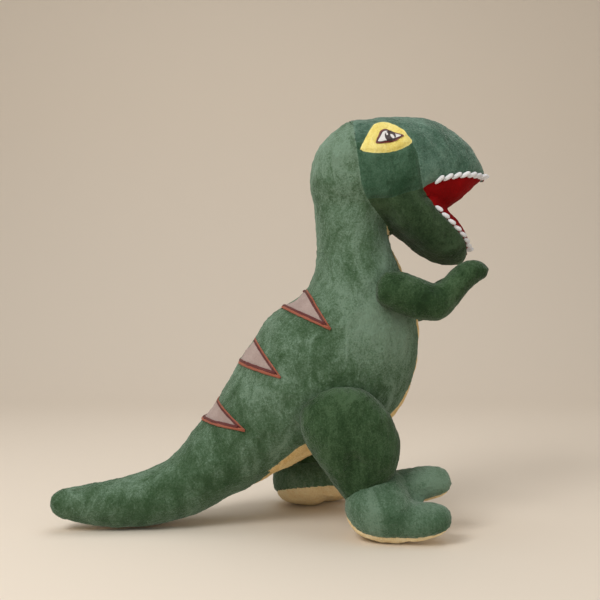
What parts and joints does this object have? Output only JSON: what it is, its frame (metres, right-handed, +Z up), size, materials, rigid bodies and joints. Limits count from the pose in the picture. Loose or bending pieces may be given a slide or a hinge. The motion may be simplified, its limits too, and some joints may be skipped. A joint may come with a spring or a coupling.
{
  "type": "stuffed dinosaur",
  "caption": "Plush two-legged dinosaur standing on its feet and tail, mouth open, sewn from shaped panels over fibre stuffing, with felt patches down its back.",
  "frame": {"origin": "on the floor, below the middle of the whole object's box", "axes": "+X to the nose, +Y to the animal's left, +Z up"},
  "size_m": [0.4219, 0.1873, 0.4],
  "materials": {
    "green_plush": "short velvety pile, mottled by its nap",
    "dark_green_plush": "the same pile seen against the nap",
    "foot_plush": "short velvety pile",
    "belly_plush": "pale yellow short pile",
    "eye_plush": "yellow short pile",
    "patch_felt": "grey-mauve felt",
    "stitching": "dark red and orange-red satin stitch",
    "eye_thread": "dark red, black and white embroidery",
    "mouth_felt": "deep red felt",
    "tooth_trim": "white woven zigzag trim",
    "filling": "polyester fibre"
  },
  "bodies": {
    "trunk": {"trunk_stuffing": "filling", "side_panel_right": "green_plush", "side_panel_left": "green_plush", "belly_panel": "belly_plush", "shoulder_patch": "patch_felt", "shoulder_patch_border": "stitching", "middle_patch": "patch_felt", "middle_patch_border": "stitching", "rump_patch": "patch_felt", "rump_patch_border": "stitching"},
    "head": {"head_stuffing": "filling", "nape_panel_right": "green_plush", "nape_panel_left": "green_plush", "cheek_panel_right": "dark_green_plush", "cheek_panel_left": "dark_green_plush", "eye_patch_right": "eye_plush", "eye_patch_left": "eye_plush", "embroidered_eye_right": "eye_thread", "embroidered_eye_left": "eye_thread", "muzzle_panel_right": "green_plush", "muzzle_panel_left": "green_plush", "upper_mouth_lining": "mouth_felt", "upper_tooth_trim": "tooth_trim"},
    "jaw": {"jaw_stuffing": "filling", "jaw_panel_right": "dark_green_plush", "jaw_panel_left": "dark_green_plush", "lower_mouth_lining": "mouth_felt", "lower_tooth_trim": "tooth_trim"},
    "tail": {"tail_stuffing": "filling", "tail_panel_right": "green_plush", "tail_panel_left": "green_plush", "tail_under_panel": "belly_plush"},
    "arm_right": {"arm_stuffing_right": "filling", "arm_outer_panel_right": "dark_green_plush", "arm_inner_panel_right": "dark_green_plush"},
    "arm_left": {"arm_stuffing_left": "filling", "arm_outer_panel_left": "dark_green_plush", "arm_inner_panel_left": "dark_green_plush"},
    "leg_right": {"thigh_stuffing_right": "filling", "thigh_outer_panel_right": "dark_green_plush", "thigh_inner_panel_right": "dark_green_plush", "foot_stuffing_right": "filling", "foot_upper_right": "foot_plush", "foot_sole_right": "belly_plush"},
    "leg_left": {"thigh_stuffing_left": "filling", "thigh_outer_panel_left": "dark_green_plush", "thigh_inner_panel_left": "dark_green_plush", "foot_stuffing_left": "filling", "foot_upper_left": "foot_plush", "foot_sole_left": "belly_plush"}
  },
  "joints": [
    {"name": "neck_nod", "type": "hinge", "parent": "trunk", "child": "head", "pos_m": [0.08, 0, 0.296], "axis": [0, 1, 0], "range_deg": [-12, 1.5], "stiffness_Nm_per_rad": 1.5},
    {"name": "jaw_close", "type": "hinge", "parent": "head", "child": "jaw", "pos_m": [0.131, 0, 0.309], "axis": [0, 1, 0], "range_deg": [-15, 1.5], "stiffness_Nm_per_rad": 0.3},
    {"name": "tail_sway", "type": "hinge", "parent": "trunk", "child": "tail", "pos_m": [-0.038, -0.002, 0.05], "axis": [0, 0, 1], "range_deg": [-20, 20], "stiffness_Nm_per_rad": 1},
    {"name": "shoulder_right", "type": "hinge", "parent": "trunk", "child": "arm_right", "pos_m": [0.117, -0.055, 0.223], "axis": [0, 1, 0], "range_deg": [-25, 25], "stiffness_Nm_per_rad": 0.25},
    {"name": "shoulder_left", "type": "hinge", "parent": "trunk", "child": "arm_left", "pos_m": [0.117, 0.055, 0.223], "axis": [0, 1, 0], "range_deg": [-35, 12], "stiffness_Nm_per_rad": 0.25},
    {"name": "hip_right", "type": "hinge", "parent": "trunk", "child": "leg_right", "pos_m": [0.073, -0.065, 0.09], "axis": [0, 1, 0], "range_deg": [-15, 15], "stiffness_Nm_per_rad": 5},
    {"name": "hip_left", "type": "hinge", "parent": "trunk", "child": "leg_left", "pos_m": [0.036, 0.065, 0.091], "axis": [0, 1, 0], "range_deg": [-15, 15], "stiffness_Nm_per_rad": 5}
  ]
}
